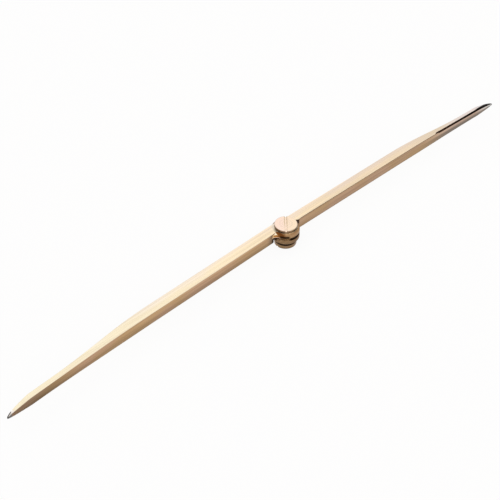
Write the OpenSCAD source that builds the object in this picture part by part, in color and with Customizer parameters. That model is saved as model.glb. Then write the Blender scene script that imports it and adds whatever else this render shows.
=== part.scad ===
// Straight chart divider: two brass bars, swept in to steel points, hinged in a lap joint on a slotted screw.
// The pivot is the Z axis and the legs lie open along X, with their inner faces towards -Y.
// Z = 0 is the underside of the pivot nut. The left leg is the right one turned over about the Y axis, without
// its large facets. It lies higher by the washer between the leaves, and both points end level with that washer.

/* [Legs] */
// Distance from the pivot axis to the tip of a point
leg_len = 172; // [150:1:220]
// Width of the bar, across the leg
bar_w = 5.8; // [5:0.1:7]
// Thickness of the bar, along the pivot
bar_h = 6.4; // [5:0.1:8]
// Bevel on the long edges of the bar
edge_break = 0.2; // [0.1:0.05:0.4]
// Angle between the legs as they lie
open_angle = 178.6; // [60:0.1:180]

/* [Sweep to the points] */
// Length over which the outer side sweeps in, from the tip
sweep_len = 84; // [60:1:100]
// Length of the slim end that the sweep leads to, from the tip
slim_len = 28; // [20:1:40]
// Width of the slim end
end_w = 2.9; // [2.5:0.1:4]
// Length over which the thickness tapers, from the tip
taper_len = 72; // [50:1:80]
// How much the thickness falls over that length
taper = 1.6; // [0.2:0.1:2.4]
// Length over which the leg bends inwards, from the tip
bend_len = 87; // [70:1:110]
// How far the tips stand in from the line of the inner faces
tip_in = 1.7; // [1:0.1:2.5]
// Length of the large facets on two opposite edges of the right leg, from the tip
facet_len = 50; // [36:1:58]
// Size of the large facets
facet = 0.9; // [0.6:0.05:1]
// Length over which the facets begin
facet_start = 2; // [1:0.5:4]
// Length of the rounded nose
nose_len = 13; // [11:0.5:16]
// Fullness of the nose: 0.5 is a parabola, 1 is a cone
nose_curve = 0.55; // [0.4:0.05:0.7]
// Width of the very tip
tip_w = 0.2; // [0.1:0.05:0.4]

/* [Steel points] */
// Length of steel that shows
steel_len = 4; // [3.5:0.5:9]
// Diameter of the shank that is pressed into the leg
needle_d = 1; // [0.8:0.05:1.1]
// Depth of the shank in the leg
needle_depth = 14; // [8:1:16]
// Clearance round the shank
needle_fit = 0.01; // [0.005:0.005:0.02]

/* [Knuckle] */
// Diameter of the two leaves
knuckle_d = 14.5; // [13.4:0.1:16]
// Radius of the cove between a leaf and its inner face
cove_r = 3; // [2:0.1:4]
// Clearance between a leaf and the other leg's shoulder
lap_gap = 0.3; // [0.2:0.05:0.5]
// Bevel on the outside rim of a leaf
rim_bevel = 1.1; // [0.2:0.05:1.3]
// Bevel on the rim beside the groove between the leaves
groove_bevel = 0.4; // [0.2:0.05:0.7]

/* [Pivot] */
// Diameter of the screw's shank
pivot_d = 5; // [4:0.1:6]
// Running clearance round the shank
pivot_fit = 0.05; // [0.02:0.01:0.08]
// Diameter of the screw head
head_d = 11.9; // [10:0.1:13]
// Thickness of the screw head
head_t = 1.3; // [1.2:0.1:2.5]
// Bevel on the rims of the head and the nut
turned_bevel = 0.3; // [0.1:0.05:0.5]
// Width of the driver slots
slot_w = 1; // [0.8:0.1:1.4]
// Depth of the driver slots
slot_depth = 0.7; // [0.5:0.1:0.8]
// Direction of the head's slot
slot_angle = 47; // [0:1:179]
// Diameter of the nut
nut_d = 11.8; // [10:0.1:13]
// Thickness of the nut
nut_t = 2.4; // [2.2:0.1:4]
// How far the screw's end stands inside the nut
screw_recess = 0.3; // [0.1:0.1:0.6]

/* [Washers] */
// Diameter of the washer under the head
head_washer_d = 10.8; // [9:0.1:12]
// Thickness of the washer under the head
head_washer_t = 0.3; // [0.2:0.1:0.8]
// Diameter of the washer between the leaves
friction_d = 12.8; // [10:0.1:13]
// Thickness of the washer between the leaves
friction_t = 1; // [0.2:0.1:1.2]
// Diameter of the cupped spring washer
spring_d = 10.4; // [9:0.1:11]
// Height of the spring washer as it is clamped
spring_h = 1; // [0.9:0.1:1.6]
// Thickness of the spring washer's metal
spring_t = 0.7; // [0.4:0.05:0.8]
// Width of the spring washer's two seats
spring_seat = 0.4; // [0.2:0.1:0.6]

/* [Hidden] */
$fn = 96;

brass = "#cfa772";
bright_brass = "#dcb988";
steel = "#a9a7a3";
bronze = "#8a5a32";

// Heights of the stack on the pivot, from the nut upwards
leaf_t = bar_h / 2;
right_middle = nut_t + spring_h + leaf_t;
left_middle = right_middle + friction_t;
knuckle_top = left_middle + leaf_t;
head_bottom = knuckle_top + head_washer_t;
bore_d = pivot_d + 2 * pivot_fit;

// How far a tip stands off the middle of its leg's thickness, so that the two points meet
tip_rise = friction_t / 2;

// Half of what the legs lack to a straight line
leg_turn = (180 - open_angle) / 2;

// Room that cutting and limiting shapes take on all sides, and how far cuts run past a face
room = 4 * (bar_w + bar_h);
margin = 1;

// How deep a cove cuts into the disc and the inner face, which it would otherwise only touch
cove_bite = 0.02;

// Stations from the pivot to the tip, given as distances from the tip, closer together on the nose
sweep_steps = 12;
nose_steps = 8;
curve_stations = concat(
    [for (i = [0 : sweep_steps]) sweep_len + (nose_len - sweep_len) * i / sweep_steps],
    [for (i = [nose_steps - 1 : -1 : 0]) nose_len * pow(i / nose_steps, 2)]
);
facet_stations = with_station(with_station(curve_stations, facet_len), facet_len - facet_start);
stations = concat([leg_len], with_station(with_station(facet_stations, slim_len), bend_len));

// How far the line of the nose leans in, and where the steel's shank starts and runs beside it
nose_lean = atan((tip_in + inner_y(nose_len)) / nose_len);
needle_root = steel_len / 4;
needle_off = width_at(steel_len) / 2;

// A falling list of stations with one more put in
function with_station(list, d) = concat([for (s = list) if (s > d) s], [d], [for (s = list) if (s < d) s]);

// A smooth rise from 0 to 1
function ease(u) = (1 - cos(180 * u)) / 2;

// A size that falls smoothly from full to end between two distances from the tip, and on the nose to the tip
function swept(d, from, to, full, end) =
    d >= from ? full :
    d >= to ? end + (full - end) * ease((d - to) / (from - to)) :
    d >= nose_len ? end :
    tip_w + (end - tip_w) * pow(d / nose_len, nose_curve);

// Width, thickness, inner face, middle height, plain bevel and facet of the leg at a distance d from the tip
function width_at(d) = swept(d, sweep_len, slim_len, bar_w, end_w);
function height_at(d) = swept(d, taper_len, nose_len, bar_h, bar_h - taper);
function bend_at(d) = pow(max(0, bend_len - d) / bend_len, 2);
function inner_y(d) = -tip_in * bend_at(d);
function middle_z(d) = tip_rise * bend_at(d);
function bevel_at(d) = edge_break * min(1, width_at(d) / end_w);
function facet_at(d) =
    d < nose_len ? facet * width_at(d) / end_w :
    edge_break + (facet - edge_break) * max(0, min(1, (facet_len - d) / facet_start));

// Where a cove of radius r beside a disc of radius disc_r runs out on the inner face
function cove_x(disc_r, r) = sqrt(disc_r * disc_r + 2 * disc_r * r);

function reversed(list) = [for (i = [len(list) - 1 : -1 : 0]) list[i]];

// A closed outline from the pivot to the tip between two edges, each a list of [distance from the tip, offset]
function outline(high, low) = [for (p = concat(high, reversed(low))) [leg_len - p[0], p[1]]];

// Edges of the leg seen from above, from the side and along a diagonal
plan_outer = [for (d = stations) [d, inner_y(d) + width_at(d)]];
plan_inner = [for (d = stations) [d, inner_y(d)]];
side_top = [for (d = stations) [d, middle_z(d) + height_at(d) / 2]];
side_bottom = [for (d = stations) [d, middle_z(d) - height_at(d) / 2]];

function middle_y(d) = inner_y(d) + width_at(d) / 2;
function half_diagonal(d, faceted) = (width_at(d) + height_at(d)) / 2 - (faceted ? facet_at(d) : bevel_at(d));
function diagonal_edge(tilt, side, faceted) = [
    for (d = stations)
        [d, (middle_y(d) + tilt * middle_z(d) + side * half_diagonal(d, faceted)) / sqrt(2)]
];

// A leg with its point, before the knuckle is cut, with the middle of its thickness at Z = 0
module bar(faceted) {
    intersection() {
        linear_extrude(room, center = true)
            polygon(outline(plan_outer, plan_inner));
        rotate([90, 0, 0])
            linear_extrude(room, center = true)
                polygon(outline(side_top, side_bottom));
        diagonal(1, false);
        diagonal(-1, faceted);
    }
}

// The leg's outline along one diagonal, tilted up or down, which bevels or facets two opposite edges
module diagonal(tilt, faceted) {
    rotate([45 * tilt, 0, 0])
        linear_extrude(room, center = true)
            polygon(outline(diagonal_edge(tilt, 1, faceted), diagonal_edge(tilt, -1, faceted)));
}

// Places its children at the tip, with -X back along the nose
module at_tip() {
    translate([leg_len, -tip_in, tip_rise])
        rotate([0, 0, -nose_lean])
            children();
}

// Everything from the steel's base to the tip
module steel_end() {
    at_tip()
        translate([-steel_len, -room / 2, -room / 2])
            cube(room);
}

// The shank of a point, from its base into the leg
module needle(d, overlap) {
    at_tip()
        translate([overlap - steel_len, needle_off, 0])
            rotate([0, -90, 0])
                cylinder(d = d, h = needle_depth + overlap);
}

// Plan of a leaf with its cove, grown by a clearance; the cove is on the -Y side
module leaf_plan(grow) {
    disc_r = knuckle_d / 2 + grow;
    r = cove_r - grow;
    end_x = cove_x(disc_r, r);
    difference() {
        union() {
            circle(disc_r);
            cove_corner(end_x, r);
        }
        translate([end_x, -r])
            circle(r + cove_bite);
    }
}

// The corner beside the disc that the cove is cut out of
module cove_corner(end_x, r) {
    polygon([[0, margin], [end_x, margin], [end_x, -r], [0, 0]]);
}

// The leaf of a leg, in the lower half of its thickness, with bevelled rims
module leaf() {
    disc_r = knuckle_d / 2;
    end_x = cove_x(disc_r, cove_r);
    cut_r = cove_r + cove_bite;
    translate([0, 0, -bar_h / 2])
        difference() {
            union() {
                rotate_extrude()
                    polygon([
                        [0, 0], [disc_r - rim_bevel, 0], [disc_r, rim_bevel],
                        [disc_r, leaf_t - groove_bevel], [disc_r - groove_bevel, leaf_t], [0, leaf_t]
                    ]);
                linear_extrude(leaf_t)
                    cove_corner(end_x, cove_r);
            }
            translate([end_x, -cove_r, 0])
                rotate_extrude()
                    polygon([
                        [0, -margin], [cut_r + rim_bevel + margin, -margin], [cut_r, rim_bevel],
                        [cut_r, leaf_t - groove_bevel], [cut_r + groove_bevel + margin, leaf_t + margin],
                        [0, leaf_t + margin]
                    ]);
        }
}

// A finished leg along +X, with the lower leaf
module leg(faceted) {
    difference() {
        union() {
            difference() {
                bar(faceted);
                linear_extrude(room)
                    mirror([0, 1])
                        leaf_plan(lap_gap);
            }
            leaf();
        }
        cylinder(d = bore_d, h = room, center = true);
        steel_end();
        needle(needle_d + 2 * needle_fit, margin);
    }
}

// A steel point with its shank, in the same place as in leg()
module point(faceted) {
    intersection() {
        bar(faceted);
        steel_end();
    }
    needle(needle_d, needle_root);
}

// The legs' places: the right one as it is, the left one turned over
module right_side() {
    translate([0, 0, right_middle])
        rotate([0, 0, -leg_turn])
            children();
}

module left_side() {
    translate([0, 0, left_middle])
        rotate([0, 0, leg_turn])
            rotate([0, 180, 0])
                children();
}

module left_leg() {
    color(brass)
        left_side()
            leg(false);
}

module right_leg() {
    color(brass)
        right_side()
            leg(true);
}

module left_point() {
    color(steel)
        left_side()
            point(false);
}

module right_point() {
    color(steel)
        right_side()
            point(true);
}

// A driver slot across a turned piece, cut upwards from Z = 0
module slot() {
    translate([-room / 2, -slot_w / 2, 0])
        cube([room, slot_w, slot_depth + margin]);
}

// A turned disc on the pivot, with bevelled rims
module turned_disc(d, h) {
    rotate_extrude()
        polygon([
            [0, 0], [d / 2 - turned_bevel, 0], [d / 2, turned_bevel],
            [d / 2, h - turned_bevel], [d / 2 - turned_bevel, h], [0, h]
        ]);
}

module pivot_screw() {
    color(bright_brass)
        difference() {
            union() {
                translate([0, 0, head_bottom])
                    turned_disc(head_d, head_t);
                translate([0, 0, screw_recess])
                    cylinder(d = pivot_d, h = head_bottom + head_t / 2 - screw_recess);
            }
            translate([0, 0, head_bottom + head_t - slot_depth])
                rotate([0, 0, slot_angle])
                    slot();
        }
}

module pivot_nut() {
    color(brass)
        difference() {
            turned_disc(nut_d, nut_t);
            translate([0, 0, -margin])
                cylinder(d = bore_d, h = nut_t + 2 * margin);
            translate([0, 0, -margin])
                slot();
        }
}

module flat_washer(d, t) {
    difference() {
        cylinder(d = d, h = t);
        translate([0, 0, -margin])
            cylinder(d = bore_d, h = t + 2 * margin);
    }
}

module head_washer() {
    color(bronze)
        translate([0, 0, knuckle_top])
            flat_washer(head_washer_d, head_washer_t);
}

module friction_washer() {
    color(bronze)
        translate([0, 0, right_middle])
            flat_washer(friction_d, friction_t);
}

// A cupped washer: its rim sits on the nut and its inner edge carries the lower leaf
module spring_washer() {
    color(steel)
        translate([0, 0, nut_t])
            rotate_extrude()
                polygon([
                    [bore_d / 2, spring_h - spring_t], [bore_d / 2, spring_h],
                    [bore_d / 2 + spring_seat, spring_h], [spring_d / 2, spring_t],
                    [spring_d / 2, 0], [spring_d / 2 - spring_seat, 0]
                ]);
}

left_leg();
right_leg();
left_point();
right_point();
pivot_screw();
pivot_nut();
head_washer();
friction_washer();
spring_washer();
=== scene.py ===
"""Looks of a straight brass chart divider that lies open on a white table.

The legs, points, screw and nut are modelled in millimetres about the pivot axis, as in the part's source, and
brought to metres when they are finished. The washers are the CAD nodes with finishes of their own.
"""
import math

import bmesh
import bpy
from mathutils import Matrix, Vector


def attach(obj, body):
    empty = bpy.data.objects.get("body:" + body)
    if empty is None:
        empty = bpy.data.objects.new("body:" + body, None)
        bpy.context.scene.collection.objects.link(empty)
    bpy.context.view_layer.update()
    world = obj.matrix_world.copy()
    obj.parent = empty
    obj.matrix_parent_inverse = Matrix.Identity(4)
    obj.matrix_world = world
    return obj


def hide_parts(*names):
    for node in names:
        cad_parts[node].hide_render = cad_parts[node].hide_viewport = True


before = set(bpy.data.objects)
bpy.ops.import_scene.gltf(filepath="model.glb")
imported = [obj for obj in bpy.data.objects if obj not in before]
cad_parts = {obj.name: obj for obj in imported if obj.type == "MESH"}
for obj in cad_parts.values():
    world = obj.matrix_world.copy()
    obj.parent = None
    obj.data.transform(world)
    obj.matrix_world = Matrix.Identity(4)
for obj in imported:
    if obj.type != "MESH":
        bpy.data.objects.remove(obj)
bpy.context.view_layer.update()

# A millimetre in metres, and the millimetres within which two places are the same
MM = 0.001
CLOSE = 0.0005

# Legs, in millimetres
LEG_LEN = 172
BAR_W = 5.8
BAR_H = 6.4
EDGE_BREAK = 0.2
OPEN_ANGLE = 178.6

# Sweep of the legs to their points, in millimetres from the tip
SWEEP_LEN = 84
SLIM_LEN = 28
END_W = 2.9
TAPER_LEN = 72
TAPER = 1.6
BEND_LEN = 87
TIP_IN = 1.7
FACET_LEN = 50
FACET = 0.9
FACET_START = 2
NOSE_LEN = 13
NOSE_CURVE = 0.55
TIP_W = 0.2
STEEL_LEN = 4
SWEEP_STEPS = 24
NOSE_STEPS = 14

# Shanks of the points in the legs
NEEDLE_D = 1
NEEDLE_DEPTH = 14
NEEDLE_FIT = 0.01
NEEDLE_ROOT = STEEL_LEN / 4

# Knuckle
KNUCKLE_D = 14.5
COVE_R = 3
COVE_BITE = 0.02
LAP_GAP = 0.3
RIM_BEVEL = 1.1
GROOVE_BEVEL = 0.4

# Pivot
PIVOT_D = 5
PIVOT_FIT = 0.05
HEAD_D = 11.9
HEAD_T = 1.3
TURNED_BEVEL = 0.3
SLOT_W = 1
SLOT_DEPTH = 0.7
SLOT_ANGLE = 47
NUT_D = 11.8
NUT_T = 2.4
SCREW_RECESS = 0.3
SCREW_CHAMFER = 0.4
FRICTION_T = 1
HEAD_WASHER_T = 0.3
SPRING_H = 1

# Heights on the pivot, and what follows from the sizes
LEAF_LOW = -BAR_H / 2
LEAF_HIGH = 0
RIGHT_MIDDLE = NUT_T + SPRING_H + BAR_H / 2
LEFT_MIDDLE = RIGHT_MIDDLE + FRICTION_T
KNUCKLE_TOP = LEFT_MIDDLE + BAR_H / 2
HEAD_LOW = KNUCKLE_TOP + HEAD_WASHER_T
HEAD_HIGH = HEAD_LOW + HEAD_T
TIP_RISE = FRICTION_T / 2
BORE_D = PIVOT_D + 2 * PIVOT_FIT
LEG_TURN = math.radians((180 - OPEN_ANGLE) / 2)

# Making of shapes: sides of rounds, how far cutters run past, and rounding of edges
ROUND_SIDES = 128
SMALL_SIDES = 32
PAST = 1
ROOM = 40
SOFT_EDGE = 0.07
FINE_EDGE = 0.02
SOFT_STEPS = 2
SOFT_ANGLE = math.radians(25)
SMOOTH_ANGLE = math.radians(32)

# Camera, fitted to the edges of the legs in the photograph, with lengths in metres
CAMERA_AZIMUTH = math.radians(-43.508)
CAMERA_ELEVATION = math.radians(42.492)
CAMERA_DISTANCE = 0.514293
CAMERA_AIM = Vector((0, 0, 0.0102))
CLIP_NEAR = 0.01
CLIP_FAR = 20

# The picture: its size and the place of the aim in it, in pixels, and the sensor, in millimetres
AIM_X = 285.79
AIM_Y = 226.70
PICTURE = 500
FOCAL_PIXELS = 998.9
SENSOR = 36


# Shape of a leg at a distance d from its tip

def ease(u):
    """A smooth rise from 0 to 1."""
    return (1 - math.cos(math.pi * u)) / 2


def swept(d, start, to, full, end):
    """A size that falls smoothly between two distances from the tip, and on over the nose."""
    if d >= start:
        return full
    if d >= to:
        return end + (full - end) * ease((d - to) / (start - to))
    if d >= NOSE_LEN:
        return end
    return TIP_W + (end - TIP_W) * (d / NOSE_LEN) ** NOSE_CURVE


def width_at(d):
    """Width of the section."""
    return swept(d, SWEEP_LEN, SLIM_LEN, BAR_W, END_W)


def height_at(d):
    """Height of the section."""
    return swept(d, TAPER_LEN, NOSE_LEN, BAR_H, BAR_H - TAPER)


def bend_at(d):
    """How far the leg has bent inwards, from 0 to 1 at the tip."""
    return (max(0, BEND_LEN - d) / BEND_LEN) ** 2


def inner_at(d):
    """Place of the inner face along Y."""
    return -TIP_IN * bend_at(d)


def rise_at(d):
    """How far the section is lifted, so that both tips come to one height."""
    return TIP_RISE * bend_at(d)


def middle_at(d):
    """Place of the section's middle along Y."""
    return inner_at(d) + width_at(d) / 2


def bevel_at(d):
    """Size of the broken edges."""
    return EDGE_BREAK * min(1, width_at(d) / END_W)


def facet_at(d):
    """Size of the two edges that widen to facets on the right leg's end."""
    if d < NOSE_LEN:
        return FACET * width_at(d) / END_W
    return EDGE_BREAK + (FACET - EDGE_BREAK) * max(0, min(1, (FACET_LEN - d) / FACET_START))


def leg_stations():
    """Distances from the tip at which the leg's section is set, from the pivot outwards."""
    sweep = [SWEEP_LEN + (NOSE_LEN - SWEEP_LEN) * i / SWEEP_STEPS for i in range(SWEEP_STEPS + 1)]
    nose = [NOSE_LEN * (i / NOSE_STEPS) ** 2 for i in range(NOSE_STEPS)]
    ends = (LEG_LEN, BEND_LEN, SLIM_LEN, FACET_LEN, FACET_LEN - FACET_START)
    return sorted({*ends, *sweep, *nose}, reverse=True)


# Modelling

def near(a, b):
    """Whether two places are the same."""
    return abs(a - b) < CLOSE


def only(piece):
    """Selects one object and nothing else."""
    bpy.ops.object.select_all(action="DESELECT")
    piece.select_set(True)
    bpy.context.view_layer.objects.active = piece


def edit(piece):
    """Opens a piece in edit mode, with its corners to be picked."""
    only(piece)
    bpy.ops.object.mode_set(mode="EDIT")
    bpy.context.tool_settings.mesh_select_mode = (True, False, False)


def leave():
    """Turns all faces outwards and closes edit mode."""
    bpy.ops.mesh.select_all(action="SELECT")
    bpy.ops.mesh.normals_make_consistent(inside=False)
    bpy.ops.object.mode_set(mode="OBJECT")


def pick(test):
    """Selects the corners that pass the test, with the edges and faces between them."""
    bpy.ops.mesh.select_all(action="DESELECT")
    data = bpy.context.object.data
    mesh = bmesh.from_edit_mesh(data)
    for corner in mesh.verts:
        corner.select_set(bool(test(corner.co)))
    mesh.select_flush(True)
    bmesh.update_edit_mesh(data)


def added(location, turn=(0, 0, 0)):
    """The primitive that was just added, moved to its place in its mesh."""
    piece = bpy.context.object
    piece.location = location
    piece.rotation_euler = turn
    bpy.ops.object.transform_apply(location=True, rotation=True, scale=True)
    return piece


def rod(diameter, low, high, at=(0, 0), sides=ROUND_SIDES):
    """A round rod along Z."""
    bpy.ops.object.select_all(action="DESELECT")
    bpy.ops.mesh.primitive_cylinder_add(vertices=sides, radius=diameter / 2, depth=high - low)
    return added((*at, (low + high) / 2))


def block(low, high, turn=0):
    """A box between two corners, turned about the pivot."""
    bpy.ops.object.select_all(action="DESELECT")
    bpy.ops.mesh.primitive_cube_add(size=1)
    box = bpy.context.object
    box.scale = [b - a for a, b in zip(low, high)]
    added([(a + b) / 2 for a, b in zip(low, high)])
    return turned(box, Matrix.Rotation(turn, 4, "Z"))


def turned(piece, matrix):
    """Moves a piece by a matrix, with its place in its mesh."""
    only(piece)
    piece.matrix_world = matrix
    bpy.ops.object.transform_apply(location=True, rotation=True, scale=True)
    return piece


def copied(piece):
    """A copy of a piece with its own mesh."""
    only(piece)
    bpy.ops.object.duplicate(linked=False)
    return bpy.context.object


def bevel_rim(level, size, steps=1):
    """In edit mode, bevels the round edge at a height."""
    pick(lambda c: near(c.z, level))
    bpy.ops.mesh.bevel(offset=size, offset_type="OFFSET", segments=steps, affect="EDGES")


def soften(piece, width):
    """Rounds the sharp edges of a piece."""
    only(piece)
    rounding = piece.modifiers.new("rounding", "BEVEL")
    rounding.width = width
    rounding.segments = SOFT_STEPS
    rounding.limit_method = "ANGLE"
    rounding.angle_limit = SOFT_ANGLE
    rounding.use_clamp_overlap = False
    bpy.ops.object.modifier_apply(modifier=rounding.name)


def combine(piece, other, how):
    """Joins another shape to a piece or cuts it away."""
    only(piece)
    step = piece.modifiers.new("combine", "BOOLEAN")
    step.operation = how
    step.solver = "MANIFOLD"
    step.object = other
    bpy.ops.object.modifier_apply(modifier=step.name)
    bpy.data.objects.remove(other)


def cut(piece, *others):
    """Cuts other shapes away from a piece."""
    for other in others:
        combine(piece, other, "DIFFERENCE")


def weld(piece, *others):
    """Joins other shapes to a piece."""
    for other in others:
        combine(piece, other, "UNION")


# Legs

def bar(faceted):
    """A leg with its point as one bar: an octagon, drawn out along X from section to section."""
    bpy.ops.object.select_all(action="DESELECT")
    bpy.ops.mesh.primitive_plane_add(size=1)
    bpy.context.object.scale = (BAR_H, BAR_W, 1)
    piece = added((0, BAR_W / 2, 0), (0, math.pi / 2, 0))
    edit(piece)
    bpy.ops.mesh.select_all(action="SELECT")
    bpy.ops.mesh.bevel(offset=EDGE_BREAK, offset_type="OFFSET", segments=1, affect="VERTICES")
    stations = leg_stations()
    for before, after in zip(stations, stations[1:]):
        draw_out(before, after, facet_at if faceted else bevel_at)
    leave()
    return piece


def centre_at(d):
    """The middle of the bar's section."""
    return Vector((LEG_LEN - d, middle_at(d), rise_at(d)))


def draw_out(before, after, edge_at):
    """Extrudes the bar's end from one station to the next, and fits its corners to the section there."""
    step = Vector((before - after, 0, 0))
    centre = centre_at(before) + step
    bpy.ops.mesh.extrude_region_move(TRANSFORM_OT_translate={"value": step})
    for sign, size in ((1, bevel_at), (-1, edge_at)):
        fit_corners(centre, sign, before, after, size(before), size(after))
    pick(lambda c: near(c.x, centre.x))
    bpy.ops.transform.translate(value=centre_at(after) - centre)


def fit_corners(centre, sign, before, after, old, new):
    """Fits two opposite corners of the bar's end, which have bevels of an old and a new size."""
    brink = (width_at(before) - old) / 2
    wide, tall = width_at(after) / width_at(before), height_at(after) / height_at(before)
    flat_y = (width_at(after) / 2 - new) / (width_at(before) / 2 - old)
    side_z = (height_at(after) / 2 - new) / (height_at(before) / 2 - old)

    def at_corner(c):
        return near(c.x, centre.x) and sign * (c.y - centre.y) * (c.z - centre.z) > 0

    pick(lambda c: at_corner(c) and abs(c.y - centre.y) < brink)
    bpy.ops.transform.resize(value=(1, flat_y, tall), center_override=centre)
    pick(lambda c: at_corner(c) and abs(c.y - centre.y) > brink)
    bpy.ops.transform.resize(value=(1, wide, side_z), center_override=centre)


def nose_frame():
    """The place of the tip, with X along the nose."""
    lean = math.atan((TIP_IN + inner_at(NOSE_LEN)) / NOSE_LEN)
    return Matrix.Translation((LEG_LEN, -TIP_IN, TIP_RISE)) @ Matrix.Rotation(-lean, 4, "Z")


def slice_nose(piece, keep_steel):
    """Cuts a bar where its steel begins, and keeps the steel or the brass."""
    nose = nose_frame()
    edit(piece)
    bpy.ops.mesh.select_all(action="SELECT")
    bpy.ops.mesh.bisect(
        plane_co=nose @ Vector((-STEEL_LEN, 0, 0)), plane_no=nose.to_3x3() @ Vector((1, 0, 0)),
        use_fill=True, clear_inner=keep_steel, clear_outer=not keep_steel)
    leave()


def needle(diameter, overlap):
    """The shank of a point, from its base back into the leg."""
    shank = rod(diameter, -NEEDLE_DEPTH, overlap, sides=SMALL_SIDES)
    place = nose_frame() @ Matrix.Translation((-STEEL_LEN, width_at(STEEL_LEN) / 2, 0))
    return turned(shank, place @ Matrix.Rotation(math.pi / 2, 4, "Y"))


def cove_x(disc_r, r):
    """Where a cove of radius r beside a disc runs out on the inner face."""
    return math.sqrt(disc_r * disc_r + 2 * disc_r * r)


def cove_corner(end_x, r, low, high):
    """The corner beside the leaf's disc that the cove is cut out of."""
    corner = block((0, -r, low), (end_x, PAST, high))
    edit(corner)
    pick(lambda c: near(c.x, 0) and near(c.y, -r))
    bpy.ops.transform.translate(value=(0, r, 0))
    leave()
    return corner


def cove_cutter(end_x):
    """A rod that cuts the cove, flared at both ends to carry the leaf's bevels round."""
    r = COVE_R + COVE_BITE
    low, high = LEAF_LOW + RIM_BEVEL, LEAF_HIGH - GROOVE_BEVEL
    cutter = rod(2 * r, low, high, (end_x, -COVE_R))
    edit(cutter)
    for level, reach in ((low, -(RIM_BEVEL + PAST)), (high, GROOVE_BEVEL + PAST)):
        pick(lambda c: near(c.z, level))
        bpy.ops.mesh.extrude_region_move(TRANSFORM_OT_translate={"value": (0, 0, reach)})
        grow = (r + abs(reach)) / r
        bpy.ops.transform.resize(value=(grow, grow, 1), center_override=(end_x, -COVE_R, level + reach))
    leave()
    return cutter


def leaf():
    """The leaf of the lap joint: a disc with bevelled rims that a cove joins to the leg's inner face."""
    end_x = cove_x(KNUCKLE_D / 2, COVE_R)
    disc = rod(KNUCKLE_D, LEAF_LOW, LEAF_HIGH)
    edit(disc)
    bevel_rim(LEAF_LOW, RIM_BEVEL)
    bevel_rim(LEAF_HIGH, GROOVE_BEVEL)
    leave()
    soften(disc, SOFT_EDGE)
    weld(disc, cove_corner(end_x, COVE_R, LEAF_LOW, LEAF_HIGH))
    cut(disc, cove_cutter(end_x))
    return disc


def lap_pocket():
    """The room that the other leg's leaf needs in this leg, with a clearance all round."""
    disc_r, r = KNUCKLE_D / 2 + LAP_GAP, COVE_R - LAP_GAP
    end_x = cove_x(disc_r, r)
    pocket = rod(2 * disc_r, LEAF_HIGH, ROOM)
    corner = cove_corner(end_x, r, LEAF_HIGH, ROOM)
    cut(corner, rod(2 * (r + COVE_BITE), LEAF_HIGH - PAST, ROOM + PAST, (end_x, -r)))
    turned(corner, Matrix.Scale(-1, 4, (0, 1, 0)))
    edit(corner)
    leave()
    weld(pocket, corner)
    return pocket


def leg_and_point(faceted):
    """A finished leg and its steel point, along X with the middle of the leg's thickness at Z = 0."""
    leg = bar(faceted)
    point = copied(leg)
    slice_nose(leg, keep_steel=False)
    slice_nose(point, keep_steel=True)
    soften(leg, SOFT_EDGE)
    soften(point, FINE_EDGE)
    cut(leg, lap_pocket())
    weld(leg, leaf())
    cut(leg, rod(BORE_D, -ROOM, ROOM), needle(NEEDLE_D + 2 * NEEDLE_FIT, PAST))
    weld(point, needle(NEEDLE_D, NEEDLE_ROOT))
    return leg, point


def right_side():
    """The place of the right leg and its point."""
    return Matrix.Translation((0, 0, RIGHT_MIDDLE)) @ Matrix.Rotation(-LEG_TURN, 4, "Z")


def left_side():
    """The place of the left leg and its point, turned over."""
    lifted = Matrix.Translation((0, 0, LEFT_MIDDLE)) @ Matrix.Rotation(LEG_TURN, 4, "Z")
    return lifted @ Matrix.Rotation(math.pi, 4, "Y")


# Pivot

def driver_slot(low, high, turn):
    """A cutter for a slot across the pivot."""
    return block((-ROOM, -SLOT_W / 2, low), (ROOM, SLOT_W / 2, high), turn)


def pivot_screw():
    """A flat slotted head, with its shank drawn out of the underside."""
    screw = rod(HEAD_D, HEAD_LOW, HEAD_HIGH)
    edit(screw)
    pick(lambda c: near(c.z, HEAD_LOW))
    bpy.ops.mesh.inset(thickness=(HEAD_D - PIVOT_D) / 2)
    bpy.ops.mesh.extrude_region_move(TRANSFORM_OT_translate={"value": (0, 0, SCREW_RECESS - HEAD_LOW)})
    bevel_rim(SCREW_RECESS, SCREW_CHAMFER)
    bevel_rim(HEAD_HIGH, TURNED_BEVEL, SOFT_STEPS)
    pick(lambda c: near(c.z, HEAD_LOW) and near(math.hypot(c.x, c.y), HEAD_D / 2))
    bpy.ops.mesh.bevel(offset=TURNED_BEVEL, offset_type="OFFSET", segments=SOFT_STEPS, affect="EDGES")
    leave()
    cut(screw, driver_slot(HEAD_HIGH - SLOT_DEPTH, HEAD_HIGH + PAST, math.radians(SLOT_ANGLE)))
    return screw


def pivot_nut():
    """A round nut with a slot across its underside."""
    nut = rod(NUT_D, 0, NUT_T)
    edit(nut)
    bevel_rim(0, TURNED_BEVEL, SOFT_STEPS)
    bevel_rim(NUT_T, TURNED_BEVEL, SOFT_STEPS)
    leave()
    cut(nut, rod(BORE_D, -PAST, NUT_T + PAST), driver_slot(-PAST, SLOT_DEPTH, 0))
    return nut


# Finishes

# Sockets of Blender's Mix node, by index, because several share a name
MIX_FACTOR = 0
VALUE_A = 2
VALUE_B = 3
COLOUR_A = 6
COLOUR_B = 7
COLOUR_RESULT = 2


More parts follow.
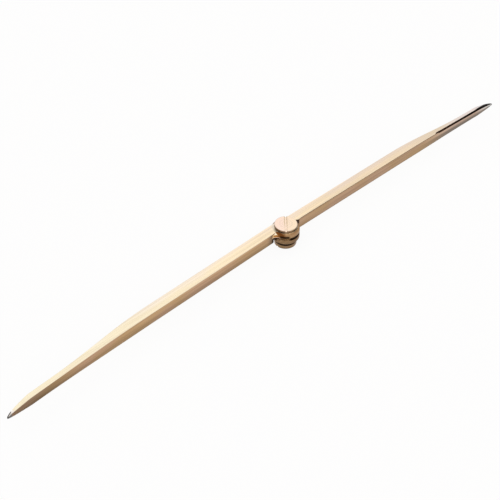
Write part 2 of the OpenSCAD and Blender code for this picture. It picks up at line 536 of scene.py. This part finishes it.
class Finish:
    """A metal finish that is built up from nodes on the piece's own coordinates."""

    def __init__(self, name):
        self.material = bpy.data.materials.new(name)
        self.material.use_nodes = True
        self.tree = self.material.node_tree
        self.shader = self.tree.nodes["Principled BSDF"]
        self.shader.inputs["Metallic"].default_value = 1
        self.coords = self.add("ShaderNodeTexCoord")

    def add(self, kind, inputs=None, **settings):
        """A node with its settings, and with a socket or a value for each input."""
        made = self.tree.nodes.new(kind)
        for key, value in settings.items():
            setattr(made, key, value)
        for key, value in (inputs or {}).items():
            if isinstance(value, bpy.types.NodeSocket):
                self.tree.links.new(value, made.inputs[key])
            else:
                made.inputs[key].default_value = value
        return made

    def set(self, key, socket):
        """Links a socket to an input of the shader."""
        self.tree.links.new(socket, self.shader.inputs[key])

    def math(self, operation, a, b=0.0):
        """One step of arithmetic."""
        return self.add("ShaderNodeMath", {0: a, 1: b}, operation=operation).outputs[0]

    def ranged(self, value, span, levels):
        """A smooth step between two levels, over a span of a value."""
        (low, high), (first, last) = span, levels
        inputs = {"Value": value, "From Min": low, "From Max": high, "To Min": first, "To Max": last}
        return self.add("ShaderNodeMapRange", inputs, interpolation_type="SMOOTHSTEP").outputs[0]

    def above(self, value, span, most=1.0):
        """A mask that rises from 0 over a span of a value."""
        return self.ranged(value, span, (0.0, most))

    def below(self, value, span, most=1.0):
        """A mask that falls to 0 over a span of a value."""
        return self.ranged(value, span, (most, 0.0))

    def noise(self, stretch, detail=2.0, vector=None):
        """Noise with so many lumps along X, Y and Z, to the metre unless another vector is given."""
        vector = vector or self.coords.outputs["Object"]
        place = self.add("ShaderNodeMapping", {"Vector": vector, "Scale": stretch})
        inputs = {"Vector": place.outputs[0], "Scale": 1.0, "Detail": detail}
        return self.add("ShaderNodeTexNoise", inputs).outputs[0]

    def mix(self, factor, a, b, blend="MIX"):
        """A colour between two colours."""
        a, b = [c if isinstance(c, bpy.types.NodeSocket) else (*c, 1) for c in (a, b)]
        inputs = {MIX_FACTOR: factor, COLOUR_A: a, COLOUR_B: b}
        return self.add("ShaderNodeMix", inputs, data_type="RGBA", blend_type=blend).outputs[COLOUR_RESULT]

    def blend(self, factor, a, b):
        """A value between two values."""
        return self.add("ShaderNodeMix", {MIX_FACTOR: factor, VALUE_A: a, VALUE_B: b}).outputs[0]

    def grey(self, value):
        """A value as a colour."""
        return self.add("ShaderNodeCombineColor", {0: value, 1: value, 2: value}).outputs[0]

    def axis(self, output, name):
        """One axis of a point's place or of its face's direction."""
        return self.add("ShaderNodeSeparateXYZ", {0: self.coords.outputs[output]}).outputs[name]

    def place(self):
        """How far a point lies along X, Y and Z, in millimetres."""
        return [self.math("MULTIPLY", self.axis("Object", name), 1 / MM) for name in "XYZ"]

    def radius(self, x, y):
        """How far a point lies from the pivot axis."""
        vector = self.add("ShaderNodeCombineXYZ", {0: x, 1: y}).outputs[0]
        return self.add("ShaderNodeVectorMath", {0: vector}, operation="LENGTH").outputs["Value"]

    def along(self, place, direction):
        """How far a point lies from the pivot in a direction of the plan."""
        x, y = [self.math("MULTIPLY", value, share) for value, share in zip(place, direction)]
        return self.math("ADD", x, y)

    def upright(self, span):
        """1 on faces that look up or down, 0 on sides."""
        return self.above(self.math("ABSOLUTE", self.axis("Normal", "Z")), span)

    def apart(self, value, middle):
        """How far a value is from a middle one."""
        return self.math("ABSOLUTE", self.math("SUBTRACT", value, middle))

    def both(self, first, *others):
        """1 where all the masks are 1."""
        for other in others:
            first = self.math("MULTIPLY", first, other)
        return first

    def either(self, first, *others):
        """The greatest of some masks."""
        for other in others:
            first = self.math("MAXIMUM", first, other)
        return first

    def bump(self, height, distance, strength):
        """Relief with a depth in metres."""
        inputs = {"Height": height, "Distance": distance, "Strength": strength}
        self.set("Normal", self.add("ShaderNodeBump", inputs).outputs[0])


# Colours, as linear red, green and blue
FLAT_INNER = (0.97, 0.89, 0.68)
FLAT_OUTER = (0.95, 0.88, 0.76)
FLAT_END = (1.0, 0.97, 0.93)
# Colours of the sides: the brass darkened by painted shade
SHADED_SIDE_GOLD = (0.44, 0.28, 0.14)
SHADED_SIDE_PINK = (0.46, 0.29, 0.18)
# Painted warm reflection in the left leg's cove, and a painted highlight on the edge below it
COVE_REFLECTION_CREAM = (0.95, 0.68, 0.34)
COVE_REFLECTION_AMBER = (0.5, 0.2, 0.035)
COVE_REFLECTION_BROWN = (0.2, 0.075, 0.02)
PEACH_HIGHLIGHT = (0.85, 0.58, 0.4)
STREAK = (0.3, 0.2, 0.12)
# Painted shade in the knuckle's gaps, under the head, in the pockets and round the nut
PAINTED_SHADE_DARK = (0.025, 0.01, 0.003)
# Painted dark reflection on the right leg's edge, facet and nose
REFLECTION_BLACK = (0.008, 0.005, 0.003)
EDGE_REFLECTION_BROWN = (0.14, 0.075, 0.03)
FACET_REFLECTION_BROWN = (0.035, 0.012, 0.003)
# Painted highlight above painted shade on the right leg's sides near its point
END_HIGHLIGHT_TAN = (0.56, 0.39, 0.29)
END_HIGHLIGHT_PALE = (0.75, 0.7, 0.66)
END_SHADE_GREY = (0.21, 0.162, 0.125)
HEAD_PINK = (1.0, 0.85, 0.77)
HEAD_GOLD = (0.98, 0.87, 0.7)
# Olive of the lines along the slot's edges
SLOT_EDGE_OLIVE = (0.4, 0.34, 0.14)
# Steel colours: sides with painted shade, a painted highlight, and black
SHADED_STEEL = (0.16, 0.15, 0.14)
STEEL_HIGHLIGHT = (0.8, 0.79, 0.77)
STEEL_BLACK = (0.04, 0.035, 0.03)
BRASS_FILM = (0.25, 0.15, 0.09)
# Washer metals, darker than bare metal so that they stand for the shade in the gaps between the parts
BRONZE_DARK = (0.12, 0.06, 0.025)
BRONZE_LIGHT = (0.32, 0.19, 0.09)
SPRING_DARK = (0.015, 0.008, 0.005)
SPRING_LIGHT = (0.05, 0.03, 0.02)

# Shared by the finishes: spans of a noise, of a face's direction and of X, and the detail of a fine noise
WIDE_NOISE = (0.3, 0.7)
NARROW_NOISE = (0.35, 0.65)
SIDE_TO_FLAT = (0.25, 0.6)
LEFT_TO_RIGHT = (-1, 1)
FINE_DETAIL = 3.0

# Shared places, in millimetres, and the direction of the front right in plan
JOINT_PLANE = (RIGHT_MIDDLE + LEFT_MIDDLE) / 2
FACET_X = LEG_LEN - FACET_LEN
STEEL_X = LEG_LEN - STEEL_LEN
PAST_KNUCKLE = (KNUCKLE_D / 2 + 0.1, KNUCKLE_D / 2 + 0.2)
FRONT_RIGHT = (0.725, -0.688)

# Legs: noise, spans in millimetres or of a face's direction, shares, and relief as its depth and strength
LEG_LINES = (14, 900, 900)
LEG_CLOUD = (45, 90, 90)
FLAT_WAVER = (-1.2, 1.2)
FLAT_Y = (0.8, 5)
FLAT_END_X = (120, 150)
RIM_TO_FLAT = (0.8, 0.95)
SIDE_STREAKS = 0.3
FLAT_STREAKS = 0.16
SHADE_DULLS = 0.35
KNUCKLE_DULLS = 0.25
LEG_ROUGHNESS = (0.12, 0.24)
LEG_RELIEF = (0.00002, 0.25)


def leg_brass():
    """Polished brass with lines along the legs: pale flats, sides with painted shade, painted shade at the
    knuckle and a painted dark reflection on the right leg.
    """
    brass = Finish("polished_brass")
    lines = brass.noise(LEG_LINES, FINE_DETAIL)
    cloud = brass.noise(LEG_CLOUD)
    place = brass.place()
    x, y, _ = place
    radius = brass.radius(x, y)
    knuckle = brass.below(radius, PAST_KNUCKLE)
    across = brass.math("ADD", y, brass.ranged(cloud, WIDE_NOISE, FLAT_WAVER))
    flat = brass.mix(brass.above(across, FLAT_Y), FLAT_INNER, FLAT_OUTER)
    flat = brass.mix(brass.above(x, FLAT_END_X), flat, FLAT_END)
    side = leg_sides(brass, cloud, place, knuckle)
    # Sides and the knuckle's rims take the sides' colour, with its painted shade, in place of the flats'
    # colour
    level = brass.blend(knuckle, brass.upright(SIDE_TO_FLAT), brass.upright(RIM_TO_FLAT))
    streaks = brass.ranged(lines, WIDE_NOISE, (0.0, brass.blend(level, SIDE_STREAKS, FLAT_STREAKS)))
    streaked = brass.mix(streaks, brass.mix(level, side, flat), STREAK, "MULTIPLY")
    # Painted dark reflection along the right leg's edge and facet and over its nose
    with_reflection = right_dark_reflection(brass, place, streaked)
    # Painted shade in the knuckle's gaps, under the head and in the lap pockets, which also roughens the
    # brass there
    painted_shade = brass.either(knuckle_painted_shade(brass, place, knuckle), pocket_painted_shade(brass, place, radius, level))
    brass.set("Base Color", brass.mix(painted_shade, with_reflection, PAINTED_SHADE_DARK))
    dull = brass.either(brass.both(painted_shade, SHADE_DULLS), brass.both(knuckle, KNUCKLE_DULLS))
    brass.set("Roughness", brass.math("ADD", brass.ranged(lines, WIDE_NOISE, LEG_ROUGHNESS), dull))
    brass.bump(lines, *LEG_RELIEF)
    return brass.material


# Painted dark reflection on the right leg: its strength, spans in millimetres or of a face's direction, and
# its edge's lean
DARK_REFLECTION = 0.99
DARK_REFLECTION_X = (8, 12)
SLOPING = 0.7
SLOPE_REACH = (0.14, 0.24)
INNER_FACING = (-0.4, -0.2)
FACET_REFLECTION_X = (FACET_X - 3, FACET_X)
REFLECTION_BLACK_X = (125, 160)
SPREAD_LEAN = 0.047
SPREAD_EDGE = (-9.65, -9.4)
SPREAD_X = (143, 149)
NOSE_BLACK_X = (STEEL_X - 2.5, STEEL_X - 0.5)
NOSE_FACING = (0.4, 0.6)
WEDGE_X = (FACET_X - 2.5, FACET_X)
WEDGE_Y = (-1.75, -0.85)
WEDGE_EDGE = (-0.1, 0.1)
WEDGE_START_X = (FACET_X - 2.7, FACET_X - 2.3)
WEDGE_END_X = (FACET_X + 2, FACET_X + 3)
WEDGE_FACING = (0.8, 0.9)


def right_dark_reflection(brass, place, bare):
    """The bare brass with a painted dark reflection along the right leg's edge and facet, which spreads over
    its nose.
    """
    x, y, _ = place
    facing = brass.axis("Normal", "Z")
    sloping = brass.below(brass.apart(facing, SLOPING), SLOPE_REACH, DARK_REFLECTION)
    inner = brass.below(brass.axis("Normal", "Y"), INNER_FACING)
    edge = brass.both(sloping, brass.above(x, DARK_REFLECTION_X), inner)
    brown = brass.mix(brass.above(x, FACET_REFLECTION_X), EDGE_REFLECTION_BROWN, FACET_REFLECTION_BROWN)
    brown = brass.mix(brass.above(x, REFLECTION_BLACK_X), brown, REFLECTION_BLACK)
    reflecting = brass.mix(brass.either(edge, facet_wedge(brass, x, y, facing)), bare, brown)
    outwards = brass.math("SUBTRACT", y, brass.math("MULTIPLY", x, SPREAD_LEAN))
    spread = brass.both(brass.below(outwards, SPREAD_EDGE, DARK_REFLECTION), brass.above(x, SPREAD_X))
    black = brass.both(brass.either(spread, brass.above(x, NOSE_BLACK_X)), brass.above(facing, NOSE_FACING))
    return brass.mix(black, reflecting, REFLECTION_BLACK)


def facet_wedge(brass, x, y, facing):
    """A wedge on the flat, where the painted dark reflection widens to the facet."""
    outwards = brass.math("SUBTRACT", y, brass.ranged(x, WEDGE_X, WEDGE_Y))
    length = brass.both(brass.above(x, WEDGE_START_X), brass.below(x, WEDGE_END_X))
    return brass.both(brass.below(outwards, WEDGE_EDGE, DARK_REFLECTION), length, brass.above(facing, WEDGE_FACING))


# Painted shade on the sides: a span in millimetres, of the height or of the distance from the pivot, and its
# levels
LEFT_UP = ((4, 10.5), (0.74, 1.3))
RIGHT_UP = ((3.4, 6), (0.8, 1.02))
KNUCKLE_UP = ((5, 9.5), (0.66, 1.12))
LEFT_ROOT = ((8.5, 14), (0.3, 1))
RIGHT_ROOT = ((7.6, 11), (0.08, 1))
TO_POINT = ((125, 160), (1, 0.55))

# Places on the sides, in millimetres, with the right end's painted highlight above painted shade
BACK_Y = (2, 4)
END_X = (105, 135)
END_HIGHLIGHT_X = (156, 166)
END_SHADE_Z = (6.2, 7.8)


def leg_sides(brass, cloud, place, knuckle):
    """The sides: brass with painted shade, a painted highlight above painted shade at the right end, and a
    painted reflection and highlight in the left leg's cove.
    """
    x, _, z = place
    brassy = brass.mix(brass.above(cloud, NARROW_NOISE), SHADED_SIDE_GOLD, SHADED_SIDE_PINK)
    shaded_sides = brass.mix(1, brassy, brass.grey(painted_side_shade(brass, place, knuckle)), "MULTIPLY")
    # At the right end the side is a painted highlight above painted shade
    end = brass.mix(brass.above(x, END_HIGHLIGHT_X), END_HIGHLIGHT_TAN, END_HIGHLIGHT_PALE)
    end = brass.mix(brass.above(z, END_SHADE_Z), END_SHADE_GREY, end)
    return painted_cove_reflection(brass, place, brass.mix(brass.above(x, END_X), shaded_sides, end))


def painted_side_shade(brass, place, knuckle):
    """Painted shade on the sides, darker low down and beside the knuckle; the sides also darken towards the
    points.
    """
    x, y, z = place
    reach = brass.math("ABSOLUTE", x)
    right = brass.above(x, LEFT_TO_RIGHT)
    up = brass.blend(right, brass.ranged(z, *LEFT_UP), brass.ranged(z, *RIGHT_UP))
    up = brass.blend(knuckle, up, brass.ranged(z, *KNUCKLE_UP))
    root = brass.blend(right, brass.ranged(reach, *LEFT_ROOT), brass.ranged(reach, *RIGHT_ROOT))
    root = brass.either(root, knuckle, brass.above(y, BACK_Y))
    return brass.both(up, brass.ranged(reach, *TO_POINT), root)


# Painted reflection in the left leg's cove and a painted highlight on the edge below it, in millimetres
FRONT_Y = (0, 0.4)
AMBER_X = (-9.6, -8.3)
BROWN_X = (-8, -6.4)
COVE_REFLECTION_START_X = (-10.2, -9.8)
COVE_REFLECTION_END_X = (-6, -4.2)
COVE_REFLECTION_Z = (JOINT_PLANE + 0.9, JOINT_PLANE + 1.3)
BRIGHT_X = (-9.7, -9.3)
BRIGHT_ASIDE = (-3.4, -2)
BRIGHT_Z = JOINT_PLANE + 0.8
BRIGHT_REACH = (0.3, 0.6)


def painted_cove_reflection(brass, place, side):
    """Sides with a painted reflection in the cove, cream at the leg and brown at the leaf, and a painted
    highlight on the edge below it.
    """
    x, y, z = place
    front = brass.below(y, FRONT_Y)
    cove_reflection = brass.mix(brass.above(x, AMBER_X), COVE_REFLECTION_CREAM, COVE_REFLECTION_AMBER)
    cove_reflection = brass.mix(brass.above(x, BROWN_X), cove_reflection, COVE_REFLECTION_BROWN)
    length = brass.both(brass.above(x, COVE_REFLECTION_START_X), brass.below(x, COVE_REFLECTION_END_X))
    in_cove = brass.both(length, front, brass.above(z, COVE_REFLECTION_Z))
    bright = brass.below(brass.apart(z, BRIGHT_Z), BRIGHT_REACH)
    length = brass.both(brass.above(x, BRIGHT_X), brass.below(brass.along(place, FRONT_RIGHT), BRIGHT_ASIDE))
    return brass.mix(brass.both(length, front, bright), brass.mix(in_cove, side, cove_reflection), PEACH_HIGHLIGHT)


# Painted shade on the leaves' rims, under the head and in the pockets: strengths, and spans in millimetres
# but for POCKET_LEVEL, a span of flatness
GROOVE_SHADE_Z = JOINT_PLANE + 0.3
GROOVE_SHADE_REACH = (0.8, 1.2)
GROOVE_SHADE_ASIDE = (1.4, 2.6)
RIM_SHADE = 0.95
RIM_SHADE_Z = JOINT_PLANE + 1.75
RIM_SHADE_REACH = (0.5, 1.0)
RIM_SHADE_Y = (-3, -2)
RIM_SHADE_START = (-5, -2.5)
RIM_SHADE_END = (1.2, 2.6)
UNDER_HEAD_SHADE = 0.9
UNDER_HEAD_Z = (KNUCKLE_TOP - 0.2, KNUCKLE_TOP - 0.1)
LEFT_HEAD_SHADE = 0.5
LEFT_HEAD_START = (-6.5, -5)
LEFT_HEAD_END = (-1.6, -0.4)
RIGHT_HEAD_SHADE = 0.6
RIGHT_HEAD_START = (3.4, 4.4)
POCKET_SHADE = 0.9
POCKET_RADIUS = (9.6, 10)
POCKET_HALF = (-0.4, -0.1)
POCKET_Y = (4.8, 5.4)
POCKET_LEVEL = (0, 0.4)


def knuckle_painted_shade(brass, place, knuckle):
    """Painted shade on the leaves' rims: in the groove at the right, above it at the left, under the head."""
    _, y, z = place
    aside = brass.along(place, FRONT_RIGHT)
    groove = brass.below(brass.apart(z, GROOVE_SHADE_Z), GROOVE_SHADE_REACH)
    right = brass.both(groove, brass.above(aside, GROOVE_SHADE_ASIDE))
    rim = brass.below(brass.apart(z, RIM_SHADE_Z), RIM_SHADE_REACH, RIM_SHADE)
    length = brass.both(brass.above(aside, RIM_SHADE_START), brass.below(aside, RIM_SHADE_END))
    left = brass.both(rim, length, brass.below(y, RIM_SHADE_Y))
    under_head = brass.both(brass.above(z, UNDER_HEAD_Z, UNDER_HEAD_SHADE), beside_head(brass, aside))
    return brass.both(knuckle, brass.either(left, right, under_head))


def beside_head(brass, aside):
    """The left front and the right of the pivot, where painted shade lies under the head."""
    left = brass.both(brass.above(aside, LEFT_HEAD_START), brass.below(aside, LEFT_HEAD_END, LEFT_HEAD_SHADE))
    return brass.either(left, brass.above(aside, RIGHT_HEAD_START, RIGHT_HEAD_SHADE))


def pocket_painted_shade(brass, place, radius, level):
    """Painted shade on the walls of the lap pockets, above the right leg's leaf and below the left one's."""
    x, y, z = place
    half = brass.both(brass.math("SUBTRACT", z, JOINT_PLANE), brass.math("SIGN", x))
    wall = brass.both(brass.above(radius, PAST_KNUCKLE), brass.below(radius, POCKET_RADIUS, POCKET_SHADE))
    inside = brass.both(brass.above(half, POCKET_HALF), brass.below(y, POCKET_Y))
    return brass.both(wall, inside, brass.below(level, POCKET_LEVEL))


# Screw and nut: noise, the rings' in lumps to the millimetre, then spans in millimetres, shares and relief
RINGS = (2.6, 2.6, 1)
TURNED_CLOUD = (160, 160, 160)
HEAD_ASIDE = (-4, 4)
NUT_SHADE_UP = ((0, NUT_T), (0.45, 0.75))
RING_STREAKS = 0.14
HEAD_EDGE_SHADE = 0.8
HEAD_EDGE_LOW = (HEAD_LOW - 0.2, HEAD_LOW)
HEAD_EDGE_HIGH = (HEAD_LOW + 0.4, HEAD_LOW + 0.6)
NUT_TOP_SHADE = 0.85
NUT_SHADE_LOW = (NUT_T - 0.5, NUT_T - 0.3)
NUT_SHADE_HIGH = (NUT_T + 0.1, NUT_T + 0.3)
SLOT_LINE_SHARE = 0.75
SLOT_EDGE = SLOT_W / 2 + 0.1
SLOT_LINE_REACH = (0.12, 0.26)
SLOT_TOP_Z = (HEAD_HIGH - 0.3, HEAD_HIGH - 0.2)
SLOT_LENGTH = ((-3, 1), (0.3, 1))
TURNED_ROUGHNESS = (0.16, 0.32)
TURNED_RELIEF = (0.00002, 0.35)


def turned_brass():
    """Turned brass with fine rings round the pivot, sides with painted shade, olive lines along the slot and
    painted shade at the edges.
    """
    brass = Finish("turned_brass")
    place = brass.place()
    x, y, z = place
    round_place = brass.add("ShaderNodeCombineXYZ", {0: brass.radius(x, y), 1: z}).outputs[0]
    rings = brass.noise(RINGS, FINE_DETAIL, round_place)
    cloud = brass.noise(TURNED_CLOUD)
    aside = brass.along(place, FRONT_RIGHT)
    flat = brass.mix(brass.above(aside, HEAD_ASIDE), HEAD_PINK, HEAD_GOLD)
    # The sides take the legs' painted shade, darkest at the bottom of the nut
    brassy = brass.mix(brass.above(cloud, NARROW_NOISE), SHADED_SIDE_GOLD, SHADED_SIDE_PINK)
    side = brass.mix(1, brassy, brass.grey(brass.ranged(z, *NUT_SHADE_UP)), "MULTIPLY")
    bare = brass.mix(brass.upright(SIDE_TO_FLAT), side, flat)
    ringed = brass.mix(brass.above(rings, WIDE_NOISE, RING_STREAKS), bare, STREAK, "MULTIPLY")
    slotted = brass.mix(slot_edge_lines(brass, place), ringed, SLOT_EDGE_OLIVE)
    # Painted shade under the head's edge and round the top of the nut
    brass.set("Base Color", brass.mix(edge_painted_shade(brass, z, aside), slotted, PAINTED_SHADE_DARK))
    brass.set("Roughness", brass.ranged(rings, WIDE_NOISE, TURNED_ROUGHNESS))
    brass.bump(rings, *TURNED_RELIEF)
    return brass.material


def edge_painted_shade(brass, z, aside):
    """Painted shade under the head's edge and round the top of the nut."""
    head = brass.both(brass.above(z, HEAD_EDGE_LOW), brass.below(z, HEAD_EDGE_HIGH, HEAD_EDGE_SHADE))
    nut = brass.both(brass.above(z, NUT_SHADE_LOW, NUT_TOP_SHADE), brass.below(z, NUT_SHADE_HIGH))
    return brass.either(brass.both(head, beside_head(brass, aside)), nut)


def slot_edge_lines(brass, place):
    """Darker olive lines along the edges of the head's slot, most of them at the far end."""
    _, _, z = place
    turn = math.radians(SLOT_ANGLE)
    lengthways = brass.along(place, (math.cos(turn), math.sin(turn)))
    sideways = brass.along(place, (-math.sin(turn), math.cos(turn)))
    edge = brass.below(brass.apart(brass.math("ABSOLUTE", sideways), SLOT_EDGE), SLOT_LINE_REACH, SLOT_LINE_SHARE)
    return brass.both(edge, brass.above(z, SLOT_TOP_Z), brass.ranged(lengthways, *SLOT_LENGTH))


# Points: noise, spans in millimetres from the tip or of the height, shares and relief
STEEL_LINES = (40, 1600, 1600)
FILM_START = (2.2, 2.6)
PALE_STRIP_Z = (6.6, 7.2)
STEEL_FACING = (0.2, 0.6)
STEEL_STREAKS = 0.3
BLACK_TIP = (0.2, 1.2)
EDGE_LEAN = 0.34
BLACK_EDGE = (-3.85, -3.65)
BLACK_EDGE_END = (2.6, 3.2)
PALE_TOP_END = (2.0, 3.0)
STEEL_ROUGHNESS = (0.2, 0.38)
STEEL_RELIEF = (0.00001, 0.4)


def point_steel():
    """Ground steel with lines, black tips, painted shade on the sides and painted highlights, and a film of
    brass at the left point's base.
    """
    steel = Finish("point_steel")
    lines = steel.noise(STEEL_LINES)
    x, y, z = steel.place()
    right = steel.above(x, LEFT_TO_RIGHT)
    from_tip = steel.math("SUBTRACT", LEG_LEN, steel.math("ABSOLUTE", x))
    # The sides carry painted shade, and the right point's upper side a painted highlight
    left_side = steel.mix(steel.above(from_tip, FILM_START), SHADED_STEEL, BRASS_FILM)
    right_side = steel.mix(steel.above(z, PALE_STRIP_Z), SHADED_STEEL, STEEL_HIGHLIGHT)
    side = steel.mix(right, left_side, right_side)
    top = steel_top(steel, y, from_tip, right)
    ground = steel.mix(steel.above(steel.axis("Normal", "Z"), STEEL_FACING), side, top)
    scored = steel.mix(steel.above(lines, NARROW_NOISE, STEEL_STREAKS), ground, STREAK, "MULTIPLY")
    steel.set("Base Color", steel.mix(steel.below(from_tip, BLACK_TIP), scored, STEEL_BLACK))
    steel.set("Roughness", steel.ranged(lines, WIDE_NOISE, STEEL_ROUGHNESS))
    steel.bump(lines, *STEEL_RELIEF)
    return steel.material


def steel_top(steel, y, from_tip, right):
    """The top of a point: a painted dark reflection in black on the right one, a painted highlight with a
    black outer edge on the left one.
    """
    outwards = steel.math("SUBTRACT", y, steel.math("MULTIPLY", from_tip, EDGE_LEAN))
    edge = steel.both(steel.above(outwards, BLACK_EDGE), steel.below(from_tip, BLACK_EDGE_END))
    pale = steel.mix(steel.above(from_tip, PALE_TOP_END), STEEL_HIGHLIGHT, FLAT_END)
    return steel.mix(steel.either(right, edge), pale, STEEL_BLACK)


# Washers
WASHER_CLOUD = (420, 420, 420)
WASHER_ROUGHNESS = (0.4, 0.6)
WASHER_RELIEF = (0.00002, 0.3)


def washer_metal(name, dark, light):
    """Dull metal, darker than bare metal so that it stands for the shade in the gaps between the parts."""
    metal = Finish(name)
    cloud = metal.noise(WASHER_CLOUD, FINE_DETAIL)
    metal.set("Base Color", metal.mix(metal.above(cloud, WIDE_NOISE), dark, light))
    metal.set("Roughness", metal.ranged(cloud, WIDE_NOISE, WASHER_ROUGHNESS))
    metal.bump(cloud, *WASHER_RELIEF)
    return metal.material


# Assembly

def finished(piece, name, finish):
    """Brings a piece to metres and gives it its name, smooth faces and finish."""
    turned(piece, Matrix.Scale(MM, 4))
    piece.name = name
    piece.data.name = name
    only(piece)
    bpy.ops.object.shade_smooth_by_angle(angle=SMOOTH_ANGLE)
    evening = piece.modifiers.new("even_normals", "WEIGHTED_NORMAL")
    evening.keep_sharp = True
    bpy.ops.object.modifier_apply(modifier=evening.name)
    piece.data.materials.clear()
    piece.data.materials.append(finish)
    return piece


def install(piece, body, node, slot):
    """Puts a piece on its body, in the place of its CAD node."""
    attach(piece, body)
    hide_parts(node)


def build_divider():
    """Makes, finishes and installs the pieces, and dresses the washers."""
    legs, points, turned_parts = leg_brass(), point_steel(), turned_brass()
    right_leg, right_point = leg_and_point(faceted=True)
    left_leg, left_point = leg_and_point(faceted=False)
    made = (
        (turned(right_leg, right_side()), "right_leg", "right_leg", legs, "polished_brass"),
        (turned(right_point, right_side()), "right_point", "right_leg", points, "point_steel"),
        (turned(left_leg, left_side()), "left_leg", "left_leg", legs, "polished_brass"),
        (turned(left_point, left_side()), "left_point", "left_leg", points, "point_steel"),
        (pivot_screw(), "pivot_screw", "pivot_screw", turned_parts, "turned_brass"),
        (pivot_nut(), "pivot_nut", "right_leg", turned_parts, "turned_brass"),
    )
    for piece, node, body, finish, slot in made:
        install(finished(piece, node + "_shaped", finish), body, node, slot)
    dress_washers()


def dress_washers():
    """Gives the washers, which keep their CAD shape, their dull metals."""
    bronze = washer_metal("washer_bronze", BRONZE_DARK, BRONZE_LIGHT)
    spring = washer_metal("spring_steel", SPRING_DARK, SPRING_LIGHT)
    dressed = (
        ("head_washer", bronze, "washer_bronze"),
        ("friction_washer", bronze, "washer_bronze"),
        ("spring_washer", spring, "spring_steel"),
    )
    for node, finish, slot in dressed:
        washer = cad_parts[node]
        washer.data.materials.clear()
        washer.data.materials.append(finish)


# Studio

# Floor: its size and drop in metres, its glow to the camera and in reflections, and its white
FLOOR_SIZE = 40
FLOOR_DROP = -0.0001
FLOOR_GLOW = 0.92
FLOOR_WHITE = (0.9, 0.9, 0.9, 1)

# Light from all round, by its height from the horizon at 0 to straight up at 1
SKY = (
    (0.0, (0.8, 0.79, 0.8)),
    (0.48, (0.78, 0.74, 0.77)),
    (0.585, (0.8, 0.71, 0.71)),
    (0.615, (1.1, 0.92, 0.78)),
    (0.66, (1.1, 0.96, 0.84)),
    (0.72, (1.04, 1.01, 0.97)),
    (1.0, (1.05, 1.05, 1.05)),
)


def floor_finish():
    """White to the camera and in reflections, with the divider's soft shadow, and clear from below."""
    material = bpy.data.materials.new("white_table")
    material.use_nodes = True
    tree = material.node_tree
    tree.nodes.clear()
    add, link = tree.nodes.new, tree.links.new
    rays = add("ShaderNodeLightPath")
    seen = rays.outputs["Is Camera Ray"]
    for ray in ("Is Glossy Ray", "Is Transmission Ray"):
        either = add("ShaderNodeMath")
        either.operation = "MAXIMUM"
        link(seen, either.inputs[0])
        link(rays.outputs[ray], either.inputs[1])
        seen = either.outputs[0]
    share = add("ShaderNodeMath")
    share.operation = "MULTIPLY"
    share.inputs[1].default_value = FLOOR_GLOW
    link(seen, share.inputs[0])
    matt, glow = add("ShaderNodeBsdfDiffuse"), add("ShaderNodeEmission")
    matt.inputs["Color"].default_value = FLOOR_WHITE
    table, clear = add("ShaderNodeMixShader"), add("ShaderNodeBsdfTransparent")
    for index, socket in enumerate((share.outputs[0], matt.outputs[0], glow.outputs[0])):
        link(socket, table.inputs[index])
    sides, both = add("ShaderNodeNewGeometry"), add("ShaderNodeMixShader")
    for index, socket in enumerate((sides.outputs["Backfacing"], table.outputs[0], clear.outputs[0])):
        link(socket, both.inputs[index])
    link(both.outputs[0], add("ShaderNodeOutputMaterial").inputs["Surface"])
    return material


def add_floor():
    """The white table that the divider lies on."""
    bpy.ops.object.select_all(action="DESELECT")
    bpy.ops.mesh.primitive_plane_add(size=FLOOR_SIZE)
    floor = added((0, 0, FLOOR_DROP))
    floor.name = "table"
    floor.data.materials.append(floor_finish())


def add_world():
    """Soft light from all round, warm at middle heights and white from above."""
    world = bpy.data.worlds.new("soft_light")
    world.use_nodes = True
    tree = world.node_tree
    coords, parts = tree.nodes.new("ShaderNodeTexCoord"), tree.nodes.new("ShaderNodeSeparateXYZ")
    height, sky = tree.nodes.new("ShaderNodeMath"), tree.nodes.new("ShaderNodeValToRGB")
    height.operation = "ABSOLUTE"
    tree.links.new(coords.outputs["Generated"], parts.inputs[0])
    tree.links.new(parts.outputs["Z"], height.inputs[0])
    tree.links.new(height.outputs[0], sky.inputs[0])
    stops = sky.color_ramp.elements
    for level, _ in SKY[1:-1]:
        stops.new(level)
    for stop, (level, colour) in zip(stops, SKY):
        stop.position = level
        stop.color = (*colour, 1)
    tree.links.new(sky.outputs[0], tree.nodes["Background"].inputs["Color"])
    bpy.context.scene.world = world


def add_camera():
    """The camera, without roll, placed so that its aim on the pivot falls where the photograph has it."""
    sideways, lengthways = math.sin(CAMERA_AZIMUTH), math.cos(CAMERA_AZIMUTH)
    right = Vector((lengthways, sideways, 0))
    level, rise = math.cos(CAMERA_ELEVATION), math.sin(CAMERA_ELEVATION)
    back = Vector((sideways * level, -lengthways * level, rise))
    up = back.cross(right)
    per_pixel = CAMERA_DISTANCE / FOCAL_PIXELS
    place = CAMERA_AIM + back * CAMERA_DISTANCE
    place -= right * (AIM_X - PICTURE / 2) * per_pixel
    place += up * (AIM_Y - PICTURE / 2) * per_pixel
    lens = bpy.data.cameras.new("camera")
    lens.sensor_width = SENSOR
    lens.lens = SENSOR * FOCAL_PIXELS / PICTURE
    lens.clip_start = CLIP_NEAR
    lens.clip_end = CLIP_FAR
    camera = bpy.data.objects.new("camera", lens)
    camera.matrix_world = Matrix.Translation(place) @ Matrix((right, up, back)).transposed().to_4x4()
    bpy.context.scene.collection.objects.link(camera)
    bpy.context.scene.camera = camera


build_divider()
add_floor()
add_world()
add_camera()
bpy.context.scene.view_settings.view_transform = "Standard"
